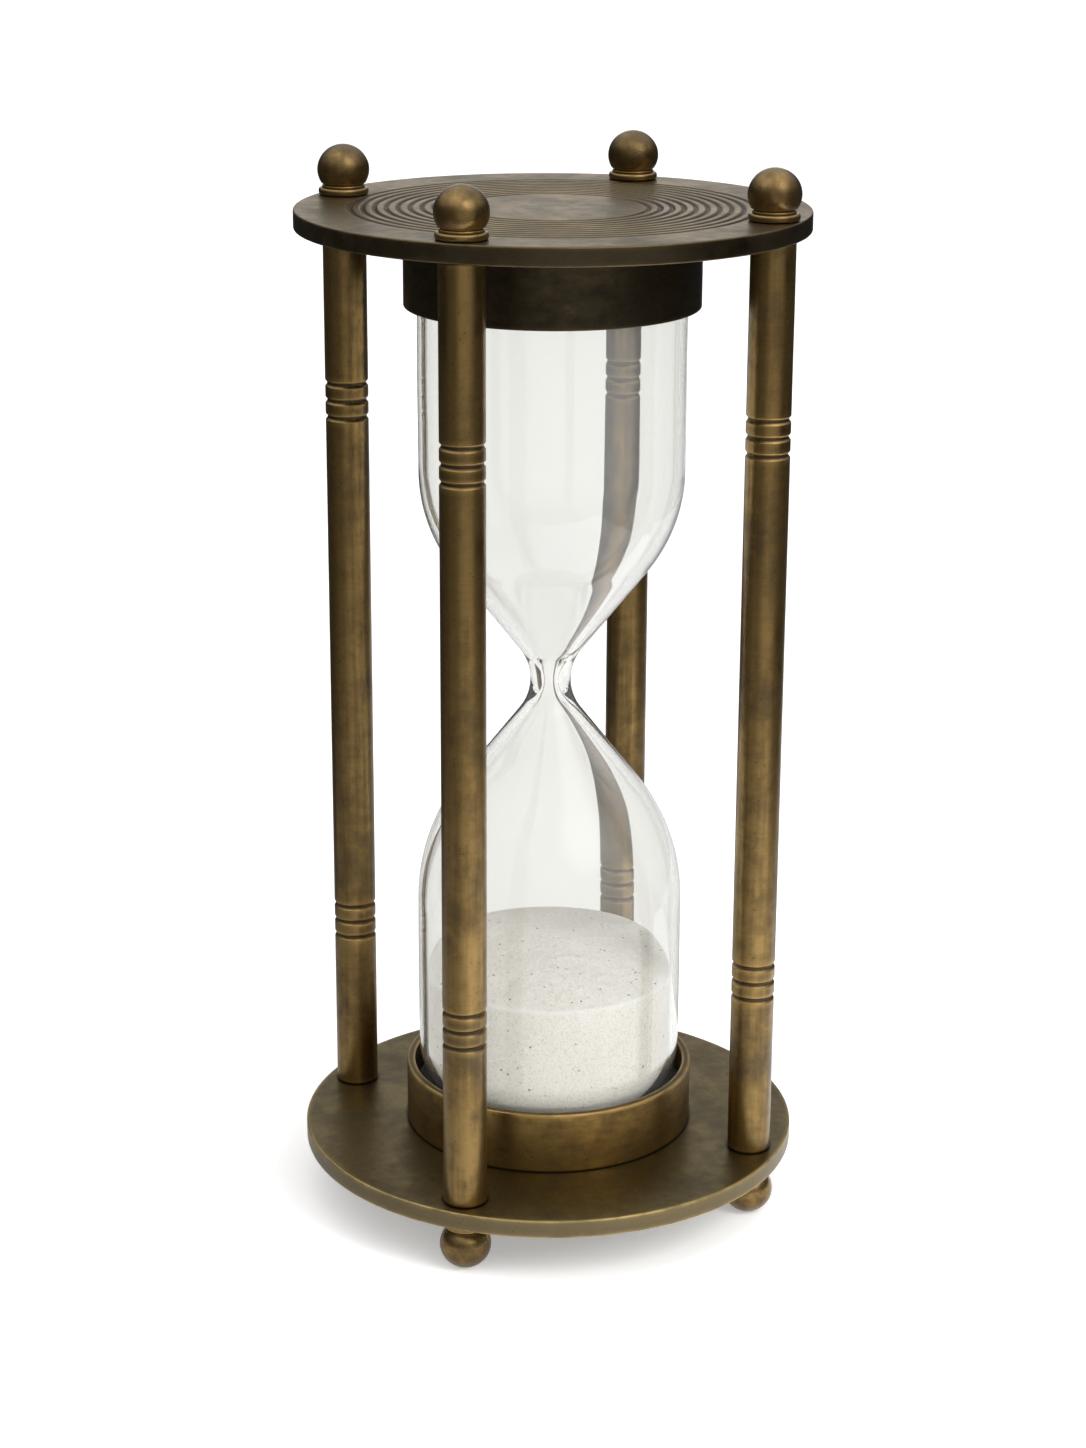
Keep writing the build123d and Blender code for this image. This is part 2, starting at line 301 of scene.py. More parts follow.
class Nodes:
    """A material's node tree, with short ways to add the nodes used here."""

    def __init__(self, name):
        self.material = bpy.data.materials.new(name)
        self.material.use_nodes = True
        self.tree = self.material.node_tree
        self.shader = self.tree.nodes["Principled BSDF"]

    def link(self, source, target):
        self.tree.links.new(source, target)

    def put(self, socket, value):
        """Gives a socket a number or colour, or another node's output."""
        if isinstance(value, bpy.types.NodeSocket):
            self.link(value, socket)
        else:
            socket.default_value = value

    def attribute(self, name, output="Fac"):
        """A value that the mesh keeps at each vertex."""
        node = self.tree.nodes.new("ShaderNodeAttribute")
        node.attribute_name = name
        return node.outputs[output]

    def math(self, operation, a, b=0.0, clamp=False):
        node = self.tree.nodes.new("ShaderNodeMath")
        node.operation = operation
        node.use_clamp = clamp
        self.put(node.inputs[0], a)
        self.put(node.inputs[1], b)
        return node.outputs[0]

    def stretch(self, vector, scale):
        """A vector scaled by its own amount along each axis."""
        node = self.tree.nodes.new("ShaderNodeVectorMath")
        node.operation = "MULTIPLY"
        self.put(node.inputs[0], vector)
        node.inputs[1].default_value = scale
        return node.outputs[0]

    def measure(self, operation, vector, other=None):
        """A vector operation on one vector, or on it and a fixed one."""
        node = self.tree.nodes.new("ShaderNodeVectorMath")
        node.operation = operation
        self.link(vector, node.inputs[0])
        if other:
            node.inputs[1].default_value = other
        return node.outputs["Vector" if operation == "ABSOLUTE" else "Value"]

    def vector(self, x, y, z):
        """A vector or a colour of three parts."""
        node = self.tree.nodes.new("ShaderNodeCombineXYZ")
        for socket, value in zip(node.inputs, (x, y, z)):
            self.put(socket, value)
        return node.outputs[0]

    def noise(self, vector, scale, detail=3.0, roughness=0.55, distortion=0.0):
        node = self.tree.nodes.new("ShaderNodeTexNoise")
        self.link(vector, node.inputs["Vector"])
        node.inputs["Scale"].default_value = scale
        node.inputs["Detail"].default_value = detail
        node.inputs["Roughness"].default_value = roughness
        node.inputs["Distortion"].default_value = distortion
        return node.outputs["Fac"]

    def cells(self, vector, scale, output="Distance"):
        """Irregular cells."""
        node = self.tree.nodes.new("ShaderNodeTexVoronoi")
        self.link(vector, node.inputs["Vector"])
        node.inputs["Scale"].default_value = scale
        return node.outputs[output]

    def span(self, value, low, high, to_low=0.0, to_high=1.0):
        """A smooth step from one value to another, while the input goes from low to high."""
        node = self.tree.nodes.new("ShaderNodeMapRange")
        node.interpolation_type = "SMOOTHSTEP"
        self.link(value, node.inputs["Value"])
        for name, number in (("From Min", low), ("From Max", high), ("To Min", to_low), ("To Max", to_high)):
            node.inputs[name].default_value = number
        return node.outputs["Result"]

    def ramp(self, value, stops):
        node = self.tree.nodes.new("ShaderNodeValToRGB")
        self.link(value, node.inputs["Fac"])
        elements = node.color_ramp.elements
        while len(elements) < len(stops):
            elements.new(0.5)
        for element, (position, colour) in zip(elements, stops):
            element.position = position
            element.color = (*colour, 1.0)
        return node.outputs["Color"]

    def mix(self, factor, a, b):
        """Colour a, with colour b over it by a factor."""
        node = self.tree.nodes.new("ShaderNodeMix")
        node.data_type = "RGBA"
        self.put(node.inputs["Factor"], factor)
        for socket, value in ((node.inputs["A"], a), (node.inputs["B"], b)):
            colour = value if isinstance(value, bpy.types.NodeSocket) else (*value, 1.0)
            self.put(socket, colour)
        return node.outputs["Result"]

    def bump(self, height, distance, strength=1.0, below=None):
        """A relief, on top of another relief where one is given."""
        node = self.tree.nodes.new("ShaderNodeBump")
        node.inputs["Strength"].default_value = strength
        node.inputs["Distance"].default_value = distance
        self.link(height, node.inputs["Height"])
        if below is not None:
            self.link(below, node.inputs["Normal"])
        return node.outputs["Normal"]

    def set(self, **values):
        """Fills the shader's sockets and gives the finished material."""
        for name, value in values.items():
            self.put(self.shader.inputs[name.replace("_", " ")], value)
        return self.material


def plate_seams(collar_node, face_z, post_radius):
    """Distances to the joints on a plate: around its collar, on one face only, and around its four
    columns or the beads above them."""
    collar_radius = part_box(collar_node)[1].x / MM
    post = middle_of("column_back_right")[0][0] / MM

    def distances(n, place):
        height = n.measure("DOT_PRODUCT", place, (0.0, 0.0, 1.0))
        off_face = n.math("ABSOLUTE", n.math("SUBTRACT", height, face_z / MM))
        flat = n.stretch(place, (1.0, 1.0, 0.0))
        collar = n.math("ABSOLUTE", n.math("SUBTRACT", n.measure("LENGTH", flat), collar_radius))
        folded = n.measure("ABSOLUTE", flat)
        posts = n.measure("DISTANCE", folded, (post, post, 0.0))
        return [n.math("MAXIMUM", collar, off_face), n.math("SUBTRACT", posts, post_radius / MM)]

    return distances


def level_seams(*levels):
    """Distances to joints at given heights of a turned piece."""

    def distances(n, place):
        height = n.measure("DOT_PRODUCT", place, (0.0, 0.0, 1.0))
        return [n.math("SUBTRACT", height, level / MM) for level in levels]

    return distances


def brass_patterns(n, streak, marks):
    """The patterns in aged brass that its colour, its gloss and its relief share."""
    local = n.attribute("local", "Vector")
    clouds = n.noise(local, 0.045, 4.0, 0.6, 0.4)
    blotches = n.noise(local, 0.19, 5.0, 0.62)
    streaks = n.noise(n.stretch(local, streak), 0.5, 4.0, 0.6)
    lines = n.vector(n.math("MULTIPLY", n.attribute("along"), marks), n.math("MULTIPLY", clouds, 3.0), 0.0)
    pits = n.span(n.cells(local, 0.6), 0.08, 0.20, 1.0, 0.0)
    soft = n.math("ADD", n.math("MULTIPLY", clouds, 0.5), n.math("MULTIPLY", streaks, 0.27))
    return SimpleNamespace(
        blotches=blotches,
        turning=n.noise(lines, 1.0, 3.0, 0.7),
        grain=n.noise(local, 4.5, 2.0, 0.6),
        pits=n.math("MULTIPLY", pits, n.span(blotches, 0.44, 0.58)),
        soft=n.math("ADD", soft, n.math("MULTIPLY", blotches, 0.33)),
    )


def aged_brass(
    name,
    tones,
    coverage=0.5,
    streak=(1.2, 1.2, 0.07),
    marks=5.0,
    rub_and_highlight=0.35,
    shine=0.26,
    lacquer=0.0,
    wall=None,
    face=None,
    seams=None,
):
    """Antiqued brass: a brown patina in clouds and streaks, rubbed through on the edges with a painted
    highlight along them, dark with patina in the grooves and with painted shade at the joints, with
    fine turning marks and small pits. tones are its dark, middle and worn colours; wall and face are
    colours that only its upright walls or level faces lean towards, as painted shade or painted light
    on them; lacquer is how much of a clear coat is left on it; seams gives the distances to its joints."""
    dark, middle, worn = tones
    n = Nodes(name)
    pattern = brass_patterns(n, streak, marks)
    edge = n.attribute("edge")
    upright = n.attribute("wall")
    patina = n.math("ADD", n.span(pattern.soft, 0.38, 0.72), coverage - 0.5, clamp=True)
    # Rubbed-through edges, which also carry a painted highlight line.
    rubbed_edges_and_highlight = n.math("MULTIPLY", n.span(edge, 0.05, 0.55), n.span(pattern.blotches, 0.30, 0.62, 0.35, 1.0))
    recess = n.span(n.math("MULTIPLY", edge, -1.0), 0.03, 0.5)

    colour = n.ramp(patina, [(0.0, worn), (0.5, middle), (1.0, dark)])
    # Upright walls lean towards their own tone: painted shade or painted light for how light falls on them.
    if wall:
        patchy = n.span(pattern.blotches, 0.3, 0.7, 0.80, 1.0)
        colour = n.mix(n.math("MULTIPLY", n.span(upright, 0.1, 0.5), patchy), colour, wall)
    # Level faces lean towards a darker tone of their own: painted shade.
    if face:
        colour = n.mix(n.math("MULTIPLY", n.span(upright, 0.3, 0.0), 0.85), colour, face)
    # Darkest tone: patina left in the grooves, and painted shade at the joints.
    hollow_patina_and_joint_shade = tuple(0.3 * c for c in dark)
    colour = n.mix(n.math("MULTIPLY", n.span(pattern.turning, 0.35, 0.75), 0.22), colour, dark)
    colour = n.mix(n.math("MULTIPLY", n.span(pattern.grain, 0.56, 0.74), 0.35), colour, dark)
    colour = n.mix(n.math("MULTIPLY", pattern.pits, 0.6), colour, tuple(0.5 * c for c in dark))
    colour = n.mix(n.math("MULTIPLY", recess, 0.75), colour, hollow_patina_and_joint_shade)
    # Painted highlight on the rubbed edges: the worn tone made up to 2.2 times brighter.
    colour = n.mix(n.math("MULTIPLY", rubbed_edges_and_highlight, rub_and_highlight), colour, tuple(min(1.0, 2.2 * c) for c in worn))
    # Painted shade along each joint: full within 0.15 mm of it, gone by 0.8 mm.
    for distance in seams(n, n.attribute("place", "Vector")) if seams else []:
        near = n.span(n.math("ABSOLUTE", distance), 0.15, 0.8, 0.9, 0.0)
        colour = n.mix(near, colour, hollow_patina_and_joint_shade)

    roughness = n.math("ADD", n.math("MULTIPLY", patina, 0.12), shine)
    roughness = n.math("ADD", roughness, n.math("MULTIPLY", pattern.turning, 0.08))
    roughness = n.math("ADD", roughness, n.math("MULTIPLY", recess, 0.20))
    normal = n.bump(pattern.turning, 0.010 * MM, 0.8)
    normal = n.bump(pattern.grain, 0.012 * MM, 0.8, normal)
    normal = n.bump(n.math("SUBTRACT", 1.0, pattern.pits), 0.04 * MM, 0.8, normal)
    normal = n.bump(pattern.blotches, 0.10 * MM, 0.8, normal)
    return n.set(
        Base_Color=colour,
        Metallic=n.math("SUBTRACT", 1.0, n.math("MULTIPLY", patina, 0.15)),
        Roughness=roughness,
        Coat_Weight=lacquer,
        Coat_Roughness=0.28,
        Normal=normal,
    )


def clear_glass(name):
    """Clear blown glass with faint draw marks and a thin film of dust, which is its matt share."""
    n = Nodes(name)
    local = n.attribute("local", "Vector")
    drawn = n.noise(n.stretch(local, (1.0, 1.0, 0.25)), 0.08, 1.0, 0.5)
    return n.set(
        Base_Color=(0.93, 0.93, 0.915, 1.0),
        Roughness=0.0,
        IOR=1.48,
        Transmission_Weight=0.967,
        Normal=n.bump(drawn, 0.03 * MM, 0.4),
    )


def white_sand(name):
    """Fine pale sand: grains in slightly different whites, a few of them dark, and a paler line
    of fines where it meets the glass."""
    n = Nodes(name)
    local = n.attribute("local", "Vector")
    contact = n.attribute("contact")
    grain_tone = n.cells(local, 2.5, "Color")
    grain_shape = n.cells(local, 2.5)
    fine = n.noise(local, 3.4, 3.0, 0.7)
    drift = n.noise(local, 0.10, 3.0, 0.5)
    speck = n.span(n.cells(local, 0.5), 0.13, 0.20, 1.0, 0.0)
    rare = n.span(n.noise(local, 0.22, 1.0, 0.5), 0.54, 0.62)
    clumps = n.span(n.noise(local, 1.1, 2.0, 0.6), 0.45, 0.72)

    whites = [(0.0, (0.64, 0.615, 0.545)), (0.3, (0.92, 0.90, 0.83)), (1.0, (0.99, 0.975, 0.93))]
    colour = n.ramp(grain_tone, whites)
    colour = n.mix(n.math("MULTIPLY", n.span(drift, 0.35, 0.70), 0.25), colour, (0.80, 0.77, 0.70))
    colour = n.mix(n.math("MULTIPLY", clumps, 0.25), colour, (0.70, 0.675, 0.60))
    colour = n.mix(n.math("MULTIPLY", contact, 0.7), colour, (0.99, 0.98, 0.96))
    colour = n.mix(n.math("MULTIPLY", n.math("MULTIPLY", speck, rare), 0.85), colour, (0.12, 0.10, 0.085))
    normal = n.bump(grain_shape, 0.26 * MM, 0.9)
    normal = n.bump(fine, 0.20 * MM, 0.8, normal)
    return n.set(Base_Color=colour, Roughness=0.92, Normal=normal, Specular_IOR_Level=0.25)


def felt(name):
    """Pressed black felt."""
    n = Nodes(name)
    local = n.attribute("local", "Vector")
    fuzz = n.noise(local, 5.0, 4.0, 0.75, 1.5)
    colour = n.ramp(fuzz, [(0.3, (0.010, 0.010, 0.009)), (0.75, (0.045, 0.043, 0.040))])
    return n.set(Base_Color=colour, Roughness=0.95, Normal=n.bump(fuzz, 0.25 * MM), Sheen_Weight=0.3)


def cork(name):
    """Ground cork pressed into sheet."""
    n = Nodes(name)
    local = n.attribute("local", "Vector")
    crumbs = n.cells(local, 0.7, "Color")
    cracks = n.cells(local, 0.7)
    fine = n.noise(local, 2.5, 4.0, 0.7)
    colour = n.ramp(crumbs, [(0.0, (0.28, 0.16, 0.07)), (0.5, (0.46, 0.29, 0.14)), (1.0, (0.58, 0.40, 0.21))])
    colour = n.mix(n.span(cracks, 0.35, 0.6, 0.0, 0.7), colour, (0.10, 0.05, 0.02))
    return n.set(Base_Color=colour, Roughness=0.9, Normal=n.bump(fine, 0.2 * MM))


def plated_steel(name):
    """Zinc-plated steel of the hidden studs, with cloudy spots."""
    n = Nodes(name)
    place = n.tree.nodes.new("ShaderNodeTexCoord").outputs["Object"]
    spots = n.noise(place, 900.0, 3.0, 0.6)
    colour = n.ramp(spots, [(0.3, (0.42, 0.42, 0.40)), (0.7, (0.60, 0.60, 0.58))])
    return n.set(Base_Color=colour, Metallic=1.0, Roughness=n.span(spots, 0.2, 0.8, 0.28, 0.45))


column_radius = middle_of("column_back_right")[1]
TOP_PLATE_BRASS = aged_brass(
    "aged_brass_top_plate",
    ((0.088, 0.068, 0.041), (0.15, 0.115, 0.065), (0.27, 0.190, 0.090)),
    coverage=0.45,
    streak=(0.5, 0.5, 0.5),
    marks=4.0,
    rub_and_highlight=0.15,
    # Darker rim wall of the top plate: painted shade.
    wall=(0.056, 0.044, 0.024),
    seams=plate_seams("top_collar", plate_low.z, BEAD_RADIUS - 0.15 * MM),
)
BASE_PLATE_BRASS = aged_brass(
    "aged_brass_base_plate",
    ((0.078, 0.058, 0.023), (0.13, 0.097, 0.039), (0.21, 0.157, 0.065)),
    streak=(0.5, 0.5, 0.5),
    marks=4.0,
    # Strong painted highlight line along the base plate's rim edges.
    rub_and_highlight=1.0,
    # Lighter rim wall of the base plate: painted light.
    wall=(0.182, 0.142, 0.080),
    seams=plate_seams("bottom_collar", base_high.z, column_radius + 0.1 * MM),
)
COLUMN_BRASS = aged_brass(
    "aged_brass_column",
    ((0.085, 0.055, 0.019), (0.21, 0.130, 0.037), (0.36, 0.230, 0.074)),
    coverage=0.45,
    lacquer=0.45,
    seams=level_seams(base_high.z, plate_low.z),
)
# Same brass as the base collar, made much darker: painted shade under the top plate.
SHADED_TOP_COLLAR_BRASS = aged_brass(
    "aged_brass_top_collar_painted_shade",
    ((0.028, 0.022, 0.012), (0.064, 0.050, 0.028), (0.12, 0.088, 0.042)),
    coverage=0.6,
    streak=(0.25, 0.25, 0.9),
    marks=6.0,
    rub_and_highlight=0.2,
    # Darker level faces of the top collar: painted shade.
    face=(0.02, 0.016, 0.010),
    seams=level_seams(plate_low.z),
)
BASE_COLLAR_BRASS = aged_brass(
    "aged_brass_base_collar",
    ((0.10, 0.062, 0.022), (0.24, 0.152, 0.048), (0.38, 0.250, 0.085)),
    streak=(0.25, 0.25, 0.9),
    marks=6.0,
    rub_and_highlight=0.5,
    # Darker level faces of the base collar: painted shade.
    face=(0.045, 0.034, 0.020),
    seams=level_seams(base_high.z),
)
BALL_BRASS = aged_brass(
    "aged_brass_ball",
    ((0.070, 0.046, 0.018), (0.17, 0.107, 0.035), (0.34, 0.220, 0.078)),
    coverage=0.45,
    streak=(0.6, 0.6, 0.6),
    shine=0.20,
    lacquer=0.3,
)
GLASS = clear_glass("clear_glass")
SAND = white_sand("white_sand")
FELT = felt("black_felt")
CORK = cork("pressed_cork")
STEEL = plated_steel("zinc_plated_steel")

# ---------------------------------------------------------------- plates


def plate_outline(node, rings):
    """Half section of a plate, with its turned rings cut into the upper face."""
    low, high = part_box(node)[0].z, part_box(node)[1].z
    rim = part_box(node)[1].x
    corners = [(0.0, low, 0), (rim, low, RIM_ROUND), (rim, high, RIM_ROUND)]
    for radius in reversed(rings):
        corners += [
            (radius + RING_WIDTH / 2, high, 0.35 * MM),
            (radius + RING_WIDTH / 6, high - RING_DEPTH, 0.4 * MM),
            (radius - RING_WIDTH / 6, high - RING_DEPTH, 0.4 * MM),
            (radius - RING_WIDTH / 2, high, 0.35 * MM),
        ]
    corners.append((0.0, high, 0))
    return spaced(soften(corners, steps=5), 1.5 * MM)


ring_radii = [RING_FIRST + RING_PITCH * i for i in range(RING_COUNT)]
lathe(
    "turned_top_plate",
    plate_outline("top_plate", ring_radii),
    TOP_PLATE_BRASS,
    ["top_plate"],
    segments=256,
)
lathe(
    "turned_bottom_plate",
    plate_outline("bottom_plate", []),
    BASE_PLATE_BRASS,
    ["bottom_plate"],
    segments=256,
)

# ---------------------------------------------------------------- columns


def column_outline(low, high, radius):
    """Half section of a column, with a band of three grooves near each end."""
    corners = [(0.0, low, 0), (radius, low, 0.3 * MM)]
    for band in (low + BAND_DISTANCE, high - BAND_DISTANCE):
        for step in (-BAND_PITCH, 0.0, BAND_PITCH):
            middle = band + step
            corners += [
                (radius, middle - BAND_WIDTH / 2, 0.45 * MM),
                (radius - BAND_DEPTH, middle - BAND_WIDTH / 7, 0.25 * MM),
                (radius - BAND_DEPTH, middle + BAND_WIDTH / 7, 0.25 * MM),
                (radius, middle + BAND_WIDTH / 2, 0.45 * MM),
            ]
    corners += [(radius, high, 0.3 * MM), (0.0, high, 0)]
    return spaced(soften(corners, steps=5), 2.0 * MM)


for corner in CORNERS:
    node = f"column_{corner}"
    centre, radius = middle_of(node)
    low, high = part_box(node)
    lathe(
        f"turned_{node}",
        column_outline(low.z, high.z, radius),
        COLUMN_BRASS,
        [node],
        centre,
        segments=96,
        wobble=hand_finish(0.03 * MM, 9.0),
    )

# ---------------------------------------------------------------- ball ends


def ball_outline(face, up, centre_height, flat, steps=40):
    """Half section of a ball on its lip, outward from a plate's face. flat is cut off its far end."""
    lip_high = BEAD_HEIGHT + LIP_HEIGHT
    low = math.asin((lip_high + NECK_HEIGHT - centre_height) / BALL_HALF_HEIGHT)
    far = math.asin((BALL_HALF_HEIGHT - flat) / BALL_HALF_HEIGHT)
    lip = [(0.0, BEAD_HEIGHT, 0), (LIP_RADIUS, BEAD_HEIGHT, 0.28 * MM), (LIP_RADIUS, lip_high, 0.28 * MM)]
    section = soften(lip + [(NECK_RADIUS, lip_high, 0)])
    for i in range(steps + 1):
        angle = low + (far - low) * i / steps
        section.append((BALL * math.cos(angle), centre_height + BALL_HALF_HEIGHT * math.sin(angle)))
    if flat:
        section.append((0.0, centre_height + BALL_HALF_HEIGHT - flat))
    else:
        section[-1] = (0.0, centre_height + BALL_HALF_HEIGHT)
    return [(x, face + up * z) for x, z in section][::up]


def bead_outline(face, up):
    """Section of the round-edged washer under a ball."""
    round_edge = BEAD_HEIGHT * 0.45
    corners = [(BEAD_HOLE, 0, 0.1 * MM), (BEAD_RADIUS, 0, round_edge)]
    corners += [(BEAD_RADIUS, BEAD_HEIGHT, round_edge), (BEAD_HOLE, BEAD_HEIGHT, 0.1 * MM)]
    return [(x, face + up * z) for x, z in soften(corners, closed=True)][::up]


FINIAL = ("finial", UP, plate_high.z, FINIAL_CENTRE, 0.0)
FOOT = ("foot", DOWN, base_low.z, FOOT_CENTRE, FOOT_FLAT)
for corner in CORNERS:
    for kind, up, face, centre_height, flat in (FINIAL, FOOT):
        centre, radius = middle_of(f"{kind}_{corner}")
        lathe(
            f"ball_{kind}_{corner}",
            ball_outline(face, up, centre_height, flat),
            BALL_BRASS,
            [f"{kind}_{corner}"],
            centre,
            segments=72,
            wobble=hand_finish(0.10 * MM, 4.0),
        )
        lathe(
            f"round_{kind}_bead_{corner}",
            bead_outline(face, up),
            BALL_BRASS,
            [f"{kind}_bead_{corner}"],
            centre,
            segments=72,
            closed=True,
        )

# ---------------------------------------------------------------- collars


def collar_outline(node, up):
    """Section of a collar's wall, with its free rim eased."""
    low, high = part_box(node)
    seat, rim = (low.z, high.z) if up > 0 else (high.z, low.z)
    outer = high.x
    inner = outer - COLLAR_WALL
    corners = [(inner, seat, 0), (outer, seat, 0), (outer, rim, 0.35 * MM), (inner, rim, 0.3 * MM)]
    return spaced(soften(corners, closed=True), 1.0 * MM, closed=True)[::up]


for node, up, brass in (("top_collar", DOWN, SHADED_TOP_COLLAR_BRASS), ("bottom_collar", UP, BASE_COLLAR_BRASS)):
    outline = collar_outline(node, up)
    lathe(f"turned_{node}", outline, brass, [node], segments=256, closed=True)

# ---------------------------------------------------------------- glass


def bulb_points(up, inset, waist, waist_arc, end_z):
    """One side of a bulb's wall, from the waist to the middle of its closed end."""
    bulb = BULB_RADIUS[up] - inset
    shoulder = SHOULDER_ARC[up] - inset
    corner = CORNER_ROUND - inset
    cone = math.degrees(CONE)
    neck = arc((waist + waist_arc, 0.0), waist_arc, 180.0, 180.0 - cone, 24)
    run = bulb - waist - (waist_arc + shoulder) * (1 - math.cos(CONE))
    shoulder_z = neck[-1][1] + run / math.tan(CONE) + shoulder * math.sin(CONE)
    round_z = up * (end_z - WAIST_Z) - corner
    points = neck + arc((bulb - shoulder, shoulder_z), shoulder, -cone, 0.0, 30)
    points += arc((bulb - corner, round_z), corner, 0.0, 90.0, 20)
    points.append((0.0, up * (end_z - WAIST_Z)))
    return [(x, WAIST_Z + up * z) for x, z in points]


def glass_outline():
    """Closed wall of both bulbs: outside from the lower end up, then inside back down."""
    low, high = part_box("glass_bulb")
    outside = bulb_points(DOWN, 0.0, OUTER_WAIST, OUTER_WAIST_ARC, low.z)[::-1]
    outside += bulb_points(UP, 0.0, OUTER_WAIST, OUTER_WAIST_ARC, high.z)[1:-1]
    inside = bulb_points(UP, WALL, BORE, BORE_ARC, high.z - WALL)[::-1]
    inside += bulb_points(DOWN, WALL, BORE, BORE_ARC, low.z + WALL)[1:]
    hole = [(FILL_HOLE, high.z), (FILL_HOLE, high.z - WALL)]
    return spaced(outside + hole + inside[1:], 1.6 * MM)


def blown(place, local):
    """Slow unevenness of hand-blown glass, the same through the wall."""
    wave = noise.noise(local / 26.0)
    outward = Vector((place.x, place.y, 0)).normalized()
    fade = min(1.0, math.hypot(place.x, place.y) / (20 * MM))
    return place + outward * (0.14 * MM * fade * (wave - 0.6))


glass = lathe("blown_glass", glass_outline(), GLASS, ["glass_bulb"], segments=192, wobble=blown)
glass.visible_shadow = False

# ---------------------------------------------------------------- sand


def sand_contact(angle):
    """Height at which the sand meets the glass: higher on the side it last slid to."""
    rise = max(0.0, min(1.0, math.cos(angle - SAND_BACK) + 0.15))
    return SAND_EDGE + SAND_BACK_RISE * rise * rise * (3 - 2 * rise)


def poured_sand():
    """Sand in the lower bulb, as rings of points: up the rounded glass, then in over the surface.
    Each vertex keeps its place in mm and how near it is to the line where sand meets glass."""
    wall = BULB_RADIUS[DOWN] - WALL - SAND_GAP
    corner = CORNER_ROUND - WALL - SAND_GAP
    floor_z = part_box("glass_bulb")[0].z + WALL + SAND_GAP
    edge = [sand_contact(2 * math.pi * k / 36) for k in range(36)]
    middle = sum(edge) / len(edge) + SAND_DOME
    mesh = bmesh.new()
    local_layer = mesh.verts.layers.float_vector.new("local")
    contact_layer = mesh.verts.layers.float.new("contact")

    def add_point(x, y, z, contact=0.0):
        vert = mesh.verts.new((x, y, z))
        vert[local_layer] = Vector((x, y, z)) / MM
        vert[contact_layer] = contact
        return vert

    def ring(place, *step):
        """A ring of points. place gives each one's radius, height and nearness to the glass line."""
        points = []
        for k in range(SAND_SEGMENTS):
            angle = 2 * math.pi * k / SAND_SEGMENTS
            radius, height, near = place(angle, *step)
            points.append(add_point(radius * math.cos(angle), radius * math.sin(angle), height, near))
        return points

    def at_rounded_end(angle, radius, height):
        return radius, height, 0.0

    def at_side(angle, i):
        depth = (sand_contact(angle) - floor_z - corner) * (1 - i / SAND_SIDE_ROWS)
        return wall, sand_contact(angle) - depth, math.exp(-((depth / (0.7 * MM)) ** 2))

    def at_top(angle, i):
        # Soft hollows, small heaps and loose grains, which fade out towards the glass.
        share = 1 - i / SAND_TOP_ROWS
        height = middle + (sand_contact(angle) - middle) * share**2.2
        spot = Vector((wall * share * math.cos(angle), wall * share * math.sin(angle), 0)) / MM
        height += min(1.0, i / 4) * MM * (0.45 * noise.noise(spot / 9) + 0.25 * noise.noise(spot / 2.2))
        height += min(1.0, i / 3) * MM * 0.12 * noise.noise(spot / 0.6)
        return wall * share, height, math.exp(-((wall * (1 - share) / (0.9 * MM)) ** 2))

    rounded = arc((wall - corner, floor_z + corner), corner, -90, 0, 24)
    below = spaced([(0.0, floor_z), (wall - corner, floor_z)] + rounded[1:], 0.9 * MM)
    rows = [[add_point(0.0, 0.0, floor_z)]]
    rows += [ring(at_rounded_end, radius, height) for radius, height in below[1:]]
    rows += [ring(at_side, i) for i in range(1, SAND_SIDE_ROWS + 1)]
    rows += [ring(at_top, i) for i in range(1, SAND_TOP_ROWS)]
    rows.append([add_point(0.0, 0.0, middle)])
    add_skin(mesh, rows)
    finish_mesh("poured_sand", mesh, SAND, ["sand"])


poured_sand()

# ---------------------------------------------------------------- soft pieces and stopper


def lumpy(amount, size):
    """A wobble that leaves a soft piece slightly lumpy, in lumps of a size in mm."""

    def press(place, local):
        return place + Vector((place.x, place.y, 0)).normalized() * (amount * noise.noise(local / size))

    return press


def packing_outline(node, up):
    """Section of the felt ring wedged between a collar and the rounded glass."""
    low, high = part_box(node)
    face, far = (low.z, high.z) if up > 0 else (high.z, low.z)
    outer = high.x
    corners = [
        (PACKING_INNER, face, 0),
        (outer, face, 0),
        (outer, far, 0.8 * MM),
        (PACKING_LIP, far, 0.8 * MM),
        (PACKING_INNER, face + up * PACKING_STEP, 0.6 * MM),
    ]
    return spaced(soften(corners, closed=True), 0.8 * MM, closed=True)[::up]


def cushion_outline(node, hole):
    """Section of a cork disc, softly rounded, with a hole where the stopper needs room."""
    low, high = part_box(node)
    corners = [(high.x, low.z, 0.4 * MM), (high.x, high.z, 0.4 * MM)]
    if hole:
        corners = [(hole, low.z, 0.2 * MM)] + corners + [(hole, high.z, 0.2 * MM)]
    else:
        corners = [(0.0, low.z, 0)] + corners + [(0.0, high.z, 0)]
    return spaced(soften(corners, closed=bool(hole)), 1.0 * MM, closed=bool(hole))


for node, up in (("top_packing", DOWN), ("bottom_packing", UP)):
    outline = packing_outline(node, up)
    lathe(f"felt_{node}", outline, FELT, [node], closed=True, wobble=lumpy(0.12 * MM, 1.5))
for node, hole in (("top_cushion", STOPPER_ROOM), ("bottom_cushion", 0)):
    outline = cushion_outline(node, hole)
    lathe(f"cork_{node}", outline, CORK, [node], closed=bool(hole), wobble=lumpy(0.1 * MM, 2.0))
plug_low, plug_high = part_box("fill_plug")
plug = [
    (0.0, plug_low.z, 0),
    (plug_high.x - 0.25 * MM, plug_low.z, 0.3 * MM),
    (plug_high.x, plug_high.z, 0.3 * MM),
    (0.0, plug_high.z, 0),
]
lathe("cork_stopper", spaced(soften(plug), 0.6 * MM), CORK, ["fill_plug"], segments=48)

for corner in CORNERS:
    for side in ("top", "bottom"):
        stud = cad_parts[f"{side}_stud_{corner}"]
        stud.data.materials.clear()
        stud.data.materials.append(STEEL)

# ---------------------------------------------------------------- stage, lights and camera


